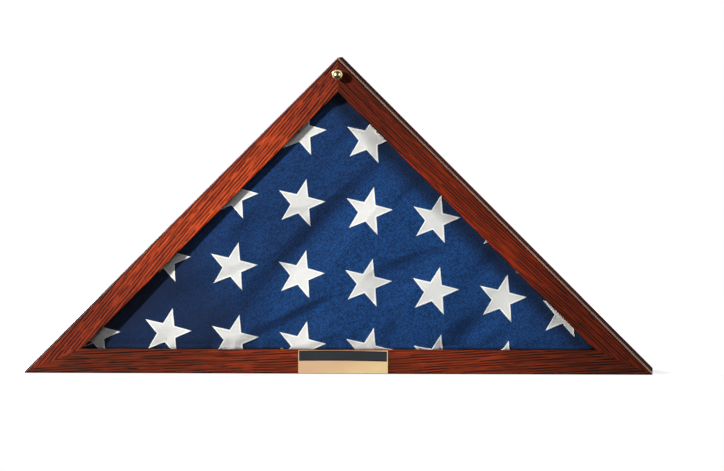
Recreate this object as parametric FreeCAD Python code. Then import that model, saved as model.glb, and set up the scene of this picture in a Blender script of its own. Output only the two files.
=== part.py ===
import FreeCAD, Part
import math
import os
from collections import namedtuple

from FreeCAD import Placement, Rotation, Vector

# A triangular display case that holds a folded flag. Three mitred boards and a plywood back make the
# box, and a glazed frame drops forward as its door on two butt hinges along the bottom.
# Millimetres. X runs to the right, Y to the back and Z up. The origin lies on the underside, midway
# along the base and midway between the door's face and the back of the boards.

# The case
CASE_WIDTH = 660.0  # along the base, between the corners before they are blunted
CASE_HEIGHT = 330.0  # from the underside to the apex
CASE_DEPTH = 70.0  # of the boards, from front edge to back edge
BOARD = 19.0  # thickness of the boards
CASE_BLUNT = 2.0  # taken off each sharp base corner, along the base
CASE_EASE = 1.5  # round-over of the boards' other edges
PANEL = 6.0  # thickness of the plywood back
PANEL_LAP = 9.0  # width of the rabbet that the back lies in
PANEL_PLAY = 0.4  # around the back in its rabbet

# The door
DOOR = 19.0  # thickness of the rail and stiles
DOOR_FACE = 25.4  # their width
DOOR_BLUNT = 2.0  # taken off each sharp base corner, along the base
DOOR_GAP = 1.0  # between the closed door and the boards
DOOR_EASE = 2.0  # round-over of the outer edge
SIGHT_EASE = 1.2  # round-over of the edge round the glass
LIP = 4.5  # wood in front of the glass
GLASS = 2.2
GLASS_LAP = 7.0  # width of the rabbet that the glass lies in
GLASS_PLAY = 1.0  # around the glass in its rabbet
GLASS_BLUNT = 6.0  # taken off each sharp base corner of the glass

# Splines glued into slots across the mitres
SPLINE = 4.0  # thickness of those in the boards
SPLINE_REACH = 6.0  # of those, into the wood on each side of a mitre
SPLINE_SETBACK = 18.0  # of those, from the boards' front edges
SPLINE_STOP = 6.0  # from their back ends to the rabbet
DOOR_SPLINE = 3.0  # thickness of those in the door
DOOR_SPLINE_REACH = 5.0  # of those, into the wood on each side of a mitre
SPLINE_COVER = 2.0  # least wood between a spline's corners and a face

# Hinges
HINGE_SPREAD = 340.0  # between the hinges' middles
HINGE_LENGTH = 38.0
HINGE_KNUCKLES = 5
KNUCKLE_RADIUS = 2.0
KNUCKLE_SPLIT = 0.2  # between neighbouring knuckles
KNUCKLE_CLEARANCE = 0.25  # between a barrel and the wood
KNUCKLE_LIFT = 0.3  # of the barrels above the underside
PIN_RADIUS = 1.0
PIN_CLEARANCE = 0.05
LEAF = 1.0  # thickness of a leaf
LEAF_WIDTH = 12.0  # above the pin's axis
LEAF_SPLIT = 0.2  # between the closed leaves
LEAF_PLAY = 0.2  # around a leaf in its mortise
LEAF_SCREW_SPREAD = 24.0
LEAF_SCREW_RISE = 7.5  # above the pin's axis

# Knob and magnetic catch, all on one axis below the apex
KNOB_DROP = 18.1  # of that axis below the apex
KNOB_RADIUS = 5.65  # of the ball
KNOB_BALL_OFF = 8.3  # from the door's face to the ball's middle
KNOB_NECK = 2.7  # radius
KNOB_FOOT = 4.4  # radius
KNOB_FOOT_HEIGHT = 1.4
KNOB_THREAD = 7.0  # depth of the threaded hole
KNOB_SCREW_RADIUS = 1.95
KNOB_SCREW_HEAD = 3.2  # radius
KNOB_SCREW_TIP = 0.5
KNOB_SCREW_SHORT = 0.2  # of the bottom of the threaded hole
STRIKE_RADIUS = 4.5
STRIKE = 1.9  # thickness
STRIKE_SINK = 1.7  # depth of its countersink
CUP_RADIUS = 4.8
CUP_WALL = 0.9
CUP_DEPTH = 8.0
CATCH_PROUD = 0.4  # of the strike and of the cup, towards each other
CATCH_FIT = 0.1  # round the strike and the cup in the wood

# Glazing points, driven into the rabbet behind the glass
POINT = 0.8  # thickness
POINT_WIDTH = 8.0
POINT_BITE = 6.0  # into the wood
POINT_SHOWS = 1.6  # past the edge round the glass
BASE_POINTS = (-59.0, 86.0)  # along X
LEG_POINTS = (84.0, 290.0)  # down each leg from the apex

# Nameplate, left bare
PLATE_WIDTH = 93.7
PLATE_HEIGHT = 24.0
PLATE = 0.8  # thickness
PLATE_CORNER = 0.8  # radius
PLATE_SHIFT = 5.6  # of its middle from the case's middle, along X
TAPE = 0.4  # thickness of the adhesive behind it
TAPE_MARGIN = 3.0

# Keyholes in the back, for two wall screws
KEYHOLE_SPREAD = 406.4
KEYHOLE_BELOW = 32.0  # from the boards' inner face straight down to an entry hole's middle
KEYHOLE_ENTRY = 4.5  # radius
KEYHOLE_NECK = 2.3  # radius
KEYHOLE_RISE = 11.0  # from the entry hole's middle to the top of the slot
HEAD_ROOM = 9.0  # kept free behind the flag for the screws' heads

# The folded flag
FLAG_BEHIND_GLASS = 0.8
FLAG_SEAT = 0.3  # between the flag and the boards it rests against
FLAG_CROWN = 26.0  # how far in from the edge round the glass the front begins to fall away
FLAG_SHOULDER = 3.0  # how far in from that edge the front turns towards the back
FLAG_PASS = 6.0  # clear of the rabbet of the glass, so that the door can drop past
FLAG_SWELL = 8.0  # depth over which it widens behind the door, and narrows at the back
FLAG_TIP = 6.0  # radius of its base corners where it is full
FLAG_TOP = 9.0  # radius of its top corner where it is full

# Fit of a screw in its hole
SCREW_FIT = 0.05
Screw = namedtuple("Screw", "head shank head_height length tip")
HINGE_SCREW = Screw(head=2.3, shank=1.3, head_height=LEAF, length=12.0, tip=2.5)
PANEL_SCREW = Screw(head=2.4, shank=1.2, head_height=1.6, length=14.0, tip=2.5)
PANEL_SCREW_EDGE = 4.2  # from the panel's edge
PANEL_SCREW_END = 55.0  # from a corner of the panel to the first screw
BASE_SCREWS = 4
LEG_SCREWS = 3

# Depths, from the door's face to the back
TOTAL_DEPTH = DOOR + DOOR_GAP + CASE_DEPTH
DOOR_FRONT = -TOTAL_DEPTH / 2
DOOR_BACK = DOOR_FRONT + DOOR
CASE_FRONT = DOOR_BACK + DOOR_GAP
CASE_BACK = CASE_FRONT + CASE_DEPTH
PANEL_FRONT = CASE_BACK - PANEL
GLASS_FRONT = DOOR_FRONT + LIP
GLASS_BACK = GLASS_FRONT + GLASS
STRIKE_BACK = DOOR_BACK + CATCH_PROUD
CUP_FRONT = CASE_FRONT - CATCH_PROUD

# The hinge axis, and the chamfers beside it that make room for the barrels
HINGE_Y = (DOOR_BACK + CASE_FRONT) / 2
HINGE_Z = KNUCKLE_RADIUS + KNUCKLE_LIFT
GROOVE = HINGE_Z + math.sqrt(2) * (KNUCKLE_RADIUS + KNUCKLE_CLEARANCE) - DOOR_GAP / 2

# The outline, seen from the front
HALF = CASE_WIDTH / 2
SLOPE = math.atan2(CASE_HEIGHT, HALF)  # of the legs, above the base
LEG = math.hypot(HALF, CASE_HEIGHT)
INRADIUS = HALF * CASE_HEIGHT / (HALF + LEG)
INCENTRE = (0.0, INRADIUS)
KNOB_Z = CASE_HEIGHT - KNOB_DROP
BASE, RIGHT, LEFT = range(3)  # the sides, each from one corner to the next
TOP = 2  # the apex among the corners
CORNER_NAMES = ("left", "right", "top")


def corners(inset):
    """The left, right and top corners (x, z) of the outline drawn in by inset on every side."""
    reach = HALF * math.sin(SLOPE) - inset
    right = (reach - inset * math.cos(SLOPE)) / math.sin(SLOPE)
    return (-right, inset), (right, inset), (0.0, reach / math.cos(SLOPE))


OUTLINE = corners(0.0)


def blunted(inset, blunt):
    """The drawn-in outline with its two base corners cut off upright."""
    _, (right, low), top = corners(inset)
    end = right - blunt
    high = low + blunt * math.tan(SLOPE)
    return [(-end, low), (end, low), (end, high), top, (-end, high)]


def leg_height(x, inset):
    """The height at x of the right leg's line, drawn in by inset."""
    return (HALF * math.sin(SLOPE) - inset - x * math.sin(SLOPE)) / math.cos(SLOPE)


def front_view(depth):
    """Places outline points (x, z) at one depth."""
    return lambda x, z: Vector(x, depth, z)


def cross_section(inset, y):
    """Places a moulding's points (inset from the outer face, depth) at the start of the base line."""
    return Vector(0, y, inset)


def eased(points, place):
    """A closed wire through (a, b, radius) points, with an arc wherever the radius isn't 0."""
    ring = [place(a, b) for a, b, _ in points]
    stops = []
    for i, (_, _, radius) in enumerate(points):
        here = ring[i]
        to_last = (ring[i - 1] - here).normalize()
        to_next = (ring[(i + 1) % len(ring)] - here).normalize()
        half = to_last.getAngle(to_next) / 2
        inwards = (to_last + to_next).normalize()
        cut = radius / math.tan(half)
        middle = here + inwards * (radius / math.sin(half) - radius)
        stops.append((here + to_last * cut, middle, here + to_next * cut, radius))
    edges = []
    for i, (start, middle, end, radius) in enumerate(stops):
        if radius:
            edges.append(Part.Arc(start, middle, end).toShape())
        edges.append(Part.LineSegment(end, stops[(i + 1) % len(stops)][0]).toShape())
    return Part.Wire(edges)


def prism(points, front, back):
    """A solid with a front-view outline, between two depths."""
    wire = eased([(x, z, 0) for x, z in points], front_view(front))
    return Part.Face(wire).extrude(Vector(0, back - front, 0))


def put(shape, placement):
    """A copy of a shape, moved."""
    moved = shape.copy()
    moved.Placement = placement.multiply(moved.Placement)
    return moved


def side_length(side):
    """The length of a side of the outline."""
    return CASE_WIDTH if side == BASE else LEG


def along(side):
    """Carries what is drawn on the base line, X along and Z inwards, onto a side of the outline."""
    (x0, z0), (x1, z1) = OUTLINE[side], OUTLINE[(side + 1) % 3]
    turn = math.degrees(math.atan2(z1 - z0, x1 - x0))
    return Placement(Vector(x0, 0, z0), Rotation(Vector(0, 1, 0), -turn))


def revolved(profile):
    """A solid turned about the Y axis from (radius, y) points."""
    ring = [Vector(radius, y, 0) for radius, y in profile]
    face = Part.Face(Part.makePolygon(ring + ring[:1]))
    return face.revolve(Vector(0, 0, 0), Vector(0, 1, 0), 360)


def rod(radius, x, z, front, back):
    """A round bar along Y."""
    return Part.makeCylinder(radius, back - front, Vector(x, front, z), Vector(0, 1, 0))


def screw(kind, x, y, z, forwards=False, grow=0.0):
    """A countersunk screw with its head's face at a point, or, grown, the hole that it fits in."""
    solid = revolved(
        [
            (0, 0),
            (kind.head + grow, 0),
            (kind.shank + grow, kind.head_height),
            (kind.shank + grow, kind.length - kind.tip),
            (0, kind.length + grow),
        ]
    )
    turn = 180 if forwards else 0
    return put(solid, Placement(Vector(x, y, z), Rotation(Vector(0, 0, 1), turn)))


def member(section, side, blunt):
    """A length of moulding along a side, mitred at both ends, with its sharp base corner blunted."""
    stock = Part.Face(section).extrude(Vector(side_length(side), 0, 0))
    mitred = prism([OUTLINE[side], OUTLINE[(side + 1) % 3], INCENTRE], DOOR_FRONT, CASE_BACK)
    ends = prism(blunted(0.0, blunt), DOOR_FRONT, CASE_BACK)
    return put(stock, along(side)).common(mitred).common(ends)


def half_angle(corner):
    """Half the angle between the two sides that meet at a corner."""
    return math.pi / 2 - SLOPE if corner == TOP else SLOPE / 2


def spline_room(corner, wall, reach):
    """The stretch (outer, inner) of a mitre, from the outer corner, where a slip stays inside a wall."""
    half = half_angle(corner)
    aside = SPLINE_COVER + reach * math.cos(half)
    return aside / math.sin(half), (wall - aside) / math.sin(half)


def spline(corner, outer, inner, reach, front, back, grow=0.0):
    """A slip of wood across a corner's mitre, between two distances from the outer corner."""
    x, z = OUTLINE[corner]
    inwards = Vector(INCENTRE[0] - x, 0, INCENTRE[1] - z).normalize()
    across = Vector(-inwards.z, 0, inwards.x)
    tip = Vector(x, 0, z)
    ring = [
        tip + inwards * (inner + grow) + across * (reach + grow),
        tip + inwards * (inner + grow) - across * (reach + grow),
        tip + inwards * (outer - grow) - across * (reach + grow),
        tip + inwards * (outer - grow) + across * (reach + grow),
    ]
    return prism([(point.x, point.z) for point in ring], front - grow, back + grow)


def case_spline(corner, grow=0.0):
    """A spline in the inner half of a joint between two boards, running from front to back."""
    _, inner = spline_room(corner, BOARD, SPLINE_REACH)
    front = CASE_FRONT + SPLINE_SETBACK
    back = PANEL_FRONT - SPLINE_STOP
    return spline(corner, inner - SPLINE, inner, SPLINE_REACH, front, back, grow)


def door_spline(corner, grow=0.0):
    """A spline in the middle of the door's thickness, across a corner, outside the rabbet."""
    outer, inner = spline_room(corner, DOOR_FACE - GLASS_LAP, DOOR_SPLINE_REACH)
    front = DOOR_FRONT + (DOOR - DOOR_SPLINE) / 2
    back = front + DOOR_SPLINE
    return spline(corner, outer, inner, DOOR_SPLINE_REACH, front, back, grow)


def hinge_middles():
    """Where the hinges are along X."""
    return (-HINGE_SPREAD / 2, HINGE_SPREAD / 2)


def leaf_screw_spots(middle):
    """Where a leaf's screws are along X."""
    return (middle - LEAF_SCREW_SPREAD / 2, middle + LEAF_SCREW_SPREAD / 2)


def knuckle_spans(middle, first):
    """The (start, end) of every other knuckle along X, from the first or the second."""
    step = HINGE_LENGTH / HINGE_KNUCKLES
    starts = [middle - HINGE_LENGTH / 2 + i * step for i in range(first, HINGE_KNUCKLES, 2)]
    return [(start + KNUCKLE_SPLIT / 2, start + step - KNUCKLE_SPLIT / 2) for start in starts]


def bar(radius, start, end):
    """A round bar along the hinge axis."""
    return Part.makeCylinder(radius, end - start, Vector(start, HINGE_Y, HINGE_Z), Vector(1, 0, 0))


def hinge_screw(x, on_door, grow=0.0):
    """A screw through a leaf into the wood behind it."""
    inner_face = -LEAF_SPLIT / 2 if on_door else LEAF_SPLIT / 2
    z = HINGE_Z + LEAF_SCREW_RISE
    return screw(HINGE_SCREW, x, HINGE_Y + inner_face, z, on_door, grow)


def hinge_leaf(middle, on_door):
    """A leaf with its share of the knuckles. The leaf on the case has the outer two."""
    front = HINGE_Y - LEAF_SPLIT / 2 - LEAF if on_door else HINGE_Y + LEAF_SPLIT / 2
    corner = Vector(middle - HINGE_LENGTH / 2, front, HINGE_Z)
    leaf = Part.makeBox(HINGE_LENGTH, LEAF, LEAF_WIDTH, corner)
    own, other = (1, 0) if on_door else (0, 1)
    for start, end in knuckle_spans(middle, other):
        reach = KNUCKLE_RADIUS + KNUCKLE_CLEARANCE
        leaf = leaf.cut(bar(reach, start - KNUCKLE_SPLIT, end + KNUCKLE_SPLIT))
    for start, end in knuckle_spans(middle, own):
        leaf = leaf.fuse(bar(KNUCKLE_RADIUS, start, end))
    bore = bar(PIN_RADIUS + PIN_CLEARANCE, middle - HINGE_LENGTH, middle + HINGE_LENGTH)
    holes = [hinge_screw(x, on_door, SCREW_FIT) for x in leaf_screw_spots(middle)]
    return leaf.cut([bore] + holes).removeSplitter()


def hinge_pin(middle):
    """The pin of a hinge."""
    return bar(PIN_RADIUS, middle - HINGE_LENGTH / 2, middle + HINGE_LENGTH / 2)


def hinge_screws(on_door):
    """The screws of both hinges, on one side."""
    return [hinge_screw(x, on_door) for middle in hinge_middles() for x in leaf_screw_spots(middle)]


def hinge_cuts(on_door):
    """The mortises and screw holes for both hinges, on one side."""
    depth = LEAF_SPLIT / 2 + LEAF
    front = HINGE_Y - depth if on_door else HINGE_Y
    cuts = []
    for middle in hinge_middles():
        corner = Vector(middle - HINGE_LENGTH / 2 - LEAF_PLAY, front, HINGE_Z)
        cuts.append(Part.makeBox(HINGE_LENGTH + 2 * LEAF_PLAY, depth, LEAF_WIDTH + LEAF_PLAY, corner))
        cuts.extend(hinge_screw(x, on_door, SCREW_FIT) for x in leaf_screw_spots(middle))
    return cuts


def board_section():
    """The boards' section: grooved beside the door, with a rabbet for the back."""
    return eased(
        [
            (GROOVE, CASE_FRONT, 0),
            (BOARD, CASE_FRONT, CASE_EASE),
            (BOARD, PANEL_FRONT, 0),
            (BOARD - PANEL_LAP, PANEL_FRONT, 0),
            (BOARD - PANEL_LAP, CASE_BACK, 0),
            (0, CASE_BACK, CASE_EASE),
            (0, CASE_FRONT + GROOVE, 0),
        ],
        cross_section,
    )


def door_section():
    """The door's section: rounded at the front, with a rabbet for the glass."""
    return eased(
        [
            (0, DOOR_FRONT, DOOR_EASE),
            (DOOR_FACE, DOOR_FRONT, SIGHT_EASE),
            (DOOR_FACE, GLASS_FRONT, 0),
            (DOOR_FACE - GLASS_LAP, GLASS_FRONT, 0),
            (DOOR_FACE - GLASS_LAP, DOOR_BACK, 0),
            (GROOVE, DOOR_BACK, 0),
            (0, DOOR_BACK - GROOVE, 0),
        ],
        cross_section,
    )


def panel_screw_spots():
    """Where the screws of the back go, as (x, z)."""
    edge = BOARD - PANEL_LAP + PANEL_PLAY + PANEL_SCREW_EDGE
    ring = corners(edge)
    spots = []
    for side, count in ((BASE, BASE_SCREWS), (RIGHT, LEG_SCREWS), (LEFT, LEG_SCREWS)):
        start = Vector(*ring[side], 0)
        end = Vector(*ring[(side + 1) % 3], 0)
        ends = (end - start).normalize() * PANEL_SCREW_END
        for i in range(count):
            spot = start + ends + (end - start - ends * 2) * (i / (count - 1))
            spots.append((spot.x, spot.y))
    return spots


def panel_screws(grow=0.0):
    """The screws that hold the back in its rabbet."""
    return [screw(PANEL_SCREW, x, CASE_BACK, z, True, grow) for x, z in panel_screw_spots()]


def case_board(side):
    """A board of the case, with its joints and the holes for what it carries."""
    board = member(board_section(), side, CASE_BLUNT)
    cuts = [case_spline(corner, SCREW_FIT) for corner in (side, (side + 1) % 3)]
    cuts += panel_screws(SCREW_FIT)
    if side == BASE:
        cuts += hinge_cuts(False)
    else:
        cuts.append(rod(CUP_RADIUS + CATCH_FIT, 0, KNOB_Z, CASE_FRONT - DOOR_GAP, CUP_FRONT + CUP_DEPTH))
    return board.cut(cuts)


def back_panel():
    """The plywood back, with two keyholes."""
    inset = BOARD - PANEL_LAP + PANEL_PLAY
    panel = prism(blunted(inset, CASE_BLUNT), PANEL_FRONT, CASE_BACK)
    cuts = panel_screws(SCREW_FIT)
    for x in (-KEYHOLE_SPREAD / 2, KEYHOLE_SPREAD / 2):
        z = leg_height(abs(x), BOARD) - KEYHOLE_BELOW
        end = z + KEYHOLE_RISE - KEYHOLE_NECK
        cuts.append(rod(KEYHOLE_ENTRY, x, z, PANEL_FRONT, CASE_BACK))
        cuts.append(rod(KEYHOLE_NECK, x, end, PANEL_FRONT, CASE_BACK))
        slot = Vector(x - KEYHOLE_NECK, PANEL_FRONT, z)
        cuts.append(Part.makeBox(2 * KEYHOLE_NECK, PANEL, end - z, slot))
    return panel.cut(cuts)


def catch_cup():
    """The steel cup round the magnet, let into the apex of the boards."""
    cup = rod(CUP_RADIUS, 0, KNOB_Z, CUP_FRONT, CUP_FRONT + CUP_DEPTH)
    return cup.cut(rod(CUP_RADIUS - CUP_WALL, 0, KNOB_Z, CUP_FRONT, CUP_FRONT + CUP_DEPTH - CUP_WALL))


def catch_magnet():
    """The magnet, seated on the cup's floor."""
    radius = CUP_RADIUS - CUP_WALL - SCREW_FIT
    return rod(radius, 0, KNOB_Z, CUP_FRONT, CUP_FRONT + CUP_DEPTH - CUP_WALL)


def knob_screw(grow=0.0):
    """The machine screw that holds the strike and the knob to the door."""
    length = STRIKE_BACK - DOOR_FRONT + KNOB_THREAD - KNOB_SCREW_SHORT
    kind = Screw(KNOB_SCREW_HEAD, KNOB_SCREW_RADIUS, STRIKE_SINK, length, KNOB_SCREW_TIP)
    return screw(kind, 0, STRIKE_BACK, KNOB_Z, True, grow)


def strike_disc():
    """The steel disc that the magnet pulls on, countersunk for the knob's screw."""
    disc = rod(STRIKE_RADIUS, 0, KNOB_Z, STRIKE_BACK - STRIKE, STRIKE_BACK)
    return disc.cut(knob_screw(SCREW_FIT))


def knob():
    """A turned brass knob: a foot, a neck and a ball."""
    ball_back = -KNOB_BALL_OFF + math.sqrt(KNOB_RADIUS**2 - KNOB_NECK**2)
    ball_side = Vector(KNOB_RADIUS, -KNOB_BALL_OFF, 0)
    ball_front = Vector(0, -KNOB_BALL_OFF - KNOB_RADIUS, 0)
    ring = [
        ball_front,
        Vector(0, 0, 0),
        Vector(KNOB_FOOT, 0, 0),
        Vector(KNOB_FOOT, -KNOB_FOOT_HEIGHT / 2, 0),
        Vector(KNOB_NECK, -KNOB_FOOT_HEIGHT, 0),
        Vector(KNOB_NECK, ball_back, 0),
    ]
    edges = Part.makePolygon(ring).Edges + [Part.Arc(ring[-1], ball_side, ball_front).toShape()]
    turned = Part.Face(Part.Wire(edges)).revolve(Vector(0, 0, 0), Vector(0, 1, 0), 360)
    thread = rod(KNOB_SCREW_RADIUS + SCREW_FIT, 0, KNOB_Z, DOOR_FRONT - KNOB_THREAD, DOOR_FRONT)
    return put(turned, Placement(Vector(0, DOOR_FRONT, KNOB_Z), Rotation())).cut(thread)


def glazing_point(side, middle, grow=0.0):
    """A flat pointed slip, half in the wood and half over the glass."""
    wall = DOOR_FACE - GLASS_LAP
    half = POINT_WIDTH / 2 + grow
    ring = [
        (middle - half, wall - POINT_BITE / 2, 0),
        (middle, wall - POINT_BITE - grow, 0),
        (middle + half, wall - POINT_BITE / 2, 0),
        (middle + half, wall + GLASS_LAP / 2, 0),
        (middle + half / 4, DOOR_FACE + POINT_SHOWS, 0),
        (middle - half / 4, DOOR_FACE + POINT_SHOWS, 0),
        (middle - half, wall + GLASS_LAP / 2, 0),
    ]
    wire = eased(ring, front_view(GLASS_BACK - grow))
    slip = Part.Face(wire).extrude(Vector(0, POINT + 2 * grow, 0))
    return put(slip, along(side))


def glazing_points(side, grow=0.0):
    """The glazing points along one side of the door."""
    spots = {
        BASE: [HALF + x for x in BASE_POINTS],
        RIGHT: [LEG - down for down in LEG_POINTS],
        LEFT: list(LEG_POINTS),
    }
    return [glazing_point(side, spot, grow) for spot in spots[side]]


def door_member(side):
    """The rail or a stile of the door, with its joints and the holes for what it carries."""
    wood = member(door_section(), side, DOOR_BLUNT)
    cuts = [door_spline(corner, SCREW_FIT) for corner in (side, (side + 1) % 3)]
    cuts += glazing_points(side, SCREW_FIT)
    if side == BASE:
        cuts += hinge_cuts(True)
    else:
        cuts.append(knob_screw(CATCH_FIT))
        cuts.append(rod(STRIKE_RADIUS + CATCH_FIT, 0, KNOB_Z, STRIKE_BACK - STRIKE, DOOR_BACK + DOOR_GAP))
    return wood.cut(cuts)


def glass_pane():
    """The glass, with its sharp corners nipped off."""
    inset = DOOR_FACE - GLASS_LAP + GLASS_PLAY
    return prism(blunted(inset, GLASS_BLUNT), GLASS_FRONT, GLASS_BACK)


def flat_plate(width, height, thick, corner, back):
    """A thin plate on the front of the rail, with rounded corners."""
    left = PLATE_SHIFT - width / 2
    low = (DOOR_FACE - height) / 2
    ring = [
        (left, low, corner),
        (left + width, low, corner),
        (left + width, low + height, corner),
        (left, low + height, corner),
    ]
    return Part.Face(eased(ring, front_view(back))).extrude(Vector(0, -thick, 0))


def nameplate():
    """The bare brass plate."""
    return flat_plate(PLATE_WIDTH, PLATE_HEIGHT, PLATE, PLATE_CORNER, DOOR_FRONT - TAPE)


def nameplate_tape():
    """The adhesive between the plate and the rail."""
    width = PLATE_WIDTH - 2 * TAPE_MARGIN
    height = PLATE_HEIGHT - 2 * TAPE_MARGIN
    return flat_plate(width, height, TAPE, PLATE_CORNER, DOOR_FRONT)


def flag_section(depth, inset, softness):
    """One slice of the folded flag, a triangle whose corners are softer than where it is full."""
    left, right, top = corners(inset)
    base_round = FLAG_TIP + softness
    ring = [(*left, base_round), (*right, base_round), (*top, FLAG_TOP + softness)]
    return eased(ring, front_view(depth))


def folded_flag():
    """The flag's soft bundle: crowned behind the glass, full against the boards, drawn in at the back."""
    front = GLASS_BACK + FLAG_BEHIND_GLASS
    back = PANEL_FRONT - HEAD_ROOM
    full = BOARD + FLAG_SEAT
    in_door = DOOR_FACE - GLASS_LAP + FLAG_PASS
    slices = [
        flag_section(front, DOOR_FACE + FLAG_CROWN, 10),
        flag_section(front + 0.7, DOOR_FACE + FLAG_CROWN / 2, 8),
        flag_section(front + 2, DOOR_FACE + FLAG_SHOULDER, 5),
        flag_section(front + 4.5, in_door + FLAG_SHOULDER / 3, 3),
        flag_section(front + 8, in_door, 1),
        flag_section(CASE_FRONT + FLAG_SWELL / 2, in_door, 1),
        flag_section(CASE_FRONT + FLAG_SWELL * 3 / 2, full + 1.5, 0),
        flag_section(CASE_FRONT + FLAG_SWELL * 5 / 2, full, 0),
        flag_section(back - FLAG_SWELL * 3 / 2, full, 0),
        flag_section(back - FLAG_SWELL / 2, full + FLAG_SWELL / 3, 1),
        flag_section(back, full + FLAG_SWELL, 4),
    ]
    return Part.makeLoft(slices, True, True)


def assembly():
    """Every piece by name. A list is a group of like pieces in one node."""
    pieces = {
        "base_board": case_board(BASE),
        "right_side_board": case_board(RIGHT),
        "left_side_board": case_board(LEFT),
        "back_panel": back_panel(),
        "back_panel_screws": panel_screws(),
        "catch_cup": catch_cup(),
        "catch_magnet": catch_magnet(),
        "hinge_case_screws": hinge_screws(False),
        "folded_flag": folded_flag(),
        "door_bottom_rail": door_member(BASE),
        "door_right_stile": door_member(RIGHT),
        "door_left_stile": door_member(LEFT),
        "glass_pane": glass_pane(),
        "glazing_points": [point for side in (BASE, RIGHT, LEFT) for point in glazing_points(side)],
        "hinge_door_screws": hinge_screws(True),
        "strike_disc": strike_disc(),
        "knob_screw": knob_screw(),
        "knob": knob(),
        "nameplate_tape": nameplate_tape(),
        "nameplate": nameplate(),
    }
    for corner, name in enumerate(CORNER_NAMES):
        pieces[f"case_spline_{name}"] = case_spline(corner)
        pieces[f"door_spline_{name}"] = door_spline(corner).cut(knob_screw(CATCH_FIT))
    for middle, name in zip(hinge_middles(), ("left", "right")):
        pieces[f"{name}_hinge_case_leaf"] = hinge_leaf(middle, False)
        pieces[f"{name}_hinge_door_leaf"] = hinge_leaf(middle, True)
        pieces[f"{name}_hinge_pin"] = hinge_pin(middle)
    return pieces


os.makedirs("parts", exist_ok=True)
for node, piece in assembly().items():
    shape = Part.makeCompound(piece) if isinstance(piece, list) else piece
    shape.exportStep(f"parts/{node}.step")
    print(node, len(shape.Solids), shape.isValid(), round(shape.Volume, 1))
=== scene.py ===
import math

import bpy
import numpy as np
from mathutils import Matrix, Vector


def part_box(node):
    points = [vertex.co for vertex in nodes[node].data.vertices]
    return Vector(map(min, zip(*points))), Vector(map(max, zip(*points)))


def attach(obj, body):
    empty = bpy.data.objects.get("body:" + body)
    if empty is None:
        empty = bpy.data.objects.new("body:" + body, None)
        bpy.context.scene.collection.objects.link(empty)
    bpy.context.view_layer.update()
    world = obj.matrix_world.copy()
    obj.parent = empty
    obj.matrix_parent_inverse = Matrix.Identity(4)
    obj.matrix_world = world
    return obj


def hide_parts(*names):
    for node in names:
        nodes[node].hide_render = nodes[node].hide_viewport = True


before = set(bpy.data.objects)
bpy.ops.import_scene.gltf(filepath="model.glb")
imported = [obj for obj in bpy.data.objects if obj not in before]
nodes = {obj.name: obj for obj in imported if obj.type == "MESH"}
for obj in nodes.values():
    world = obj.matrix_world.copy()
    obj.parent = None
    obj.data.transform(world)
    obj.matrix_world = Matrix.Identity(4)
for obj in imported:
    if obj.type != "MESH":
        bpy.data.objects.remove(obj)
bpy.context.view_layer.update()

MM = 0.001

# The camera, which sees the front almost squarely through a long lens
CAMERA_TURN = math.radians(3.0)
CAMERA_RISE = math.radians(2.2)
CAMERA_DISTANCE = 6.0
CAMERA_AIM = Vector((23.0 * MM, 0.0, 142.9 * MM))
CAMERA_LENS = 284.1
CAMERA_SENSOR = 36.0

# The studio: each lamp by its direction from the case, distance in metres, size in metres and power in watts
KEY_FROM = Vector((-0.636, -0.707, 0.309))
KEY_DISTANCE = 2.2
KEY_SIZE = 0.16
KEY_POWER = 57.0
KEY_COLOUR = (1.0, 0.97, 0.93)
PANEL_DISTANCE = KEY_DISTANCE + 0.1  # a dim panel behind the key lamp
PANEL_SIZE = 1.3
PANEL_POWER = 6.0
PANEL_COLOUR = (1.0, 0.98, 0.96)
FILL_FROM = Vector((0.80, -0.55, 0.22))
FILL_DISTANCE = 2.4
FILL_SIZE = 1.4
FILL_POWER = 15.0
FILL_COLOUR = (0.95, 0.97, 1.0)
BACK_FROM = Vector((-0.60, 0.85, 0.30))
BACK_DISTANCE = 2.4
BACK_SIZE = 0.8
BACK_POWER = 42.0
BACK_COLOUR = (1.0, 0.98, 0.95)
AMBIENT = 0.11  # of the room, where it isn't the white background
MIRRORED_ROOM = 0.25  # share of it that mirrors show
SHELF_GLOW = 0.7
SHELF_REACH = 1.6
SHELF_GREY = ((0.86, 0.86, 0.86, 1.0), (0.90, 0.90, 0.90, 1.0))

# The glass
GLASS_IOR = 1.45
GLASS_TINT = (0.985, 0.992, 0.988, 1.0)

# The outline and the door, read from the frame. The door's corners are blunted in the solid
door_low, door_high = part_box("door_bottom_rail")
case_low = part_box("base_board")[0]
flag_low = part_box("folded_flag")[0]
plate_low, plate_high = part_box("nameplate")
knob_low, knob_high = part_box("knob")
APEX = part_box("door_left_stile")[1].z
DOOR_BLUNT = 2.0 * MM
HALF = door_high.x + DOOR_BLUNT
SLOPE = math.atan2(APEX, HALF)
INRADIUS = HALF * APEX / (HALF + math.hypot(HALF, APEX))
EDGE = HALF * math.sin(SLOPE)  # from the middle of the base to a slanting side

# The wood's figure, and how far in from the outer edge it darkens and its front arris is tinted, as wear and
# as a painted highlight of the rounded edge
VESSEL_PITCH = 3.3 * MM
RING_WIDTH = 5.8 * MM
DARKER_EDGE_BAND = (3.4 * MM, 2.0 * MM)
ARRIS_TINT_EDGE = (1.3 * MM, 0.9 * MM)
ARRIS_TINT_DEPTH = (2.0 * MM, 3.0 * MM)
VENEER_RING = 11.0 * MM

# The folded flag
FLAG_TURN = 29.0 * MM  # from the outline to where the front starts to turn over
FLAG_ROLL = 4.4 * MM  # radius of that turn
FLAG_CLEAR = 0.25 * MM  # inside the solid that it stands for
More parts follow.
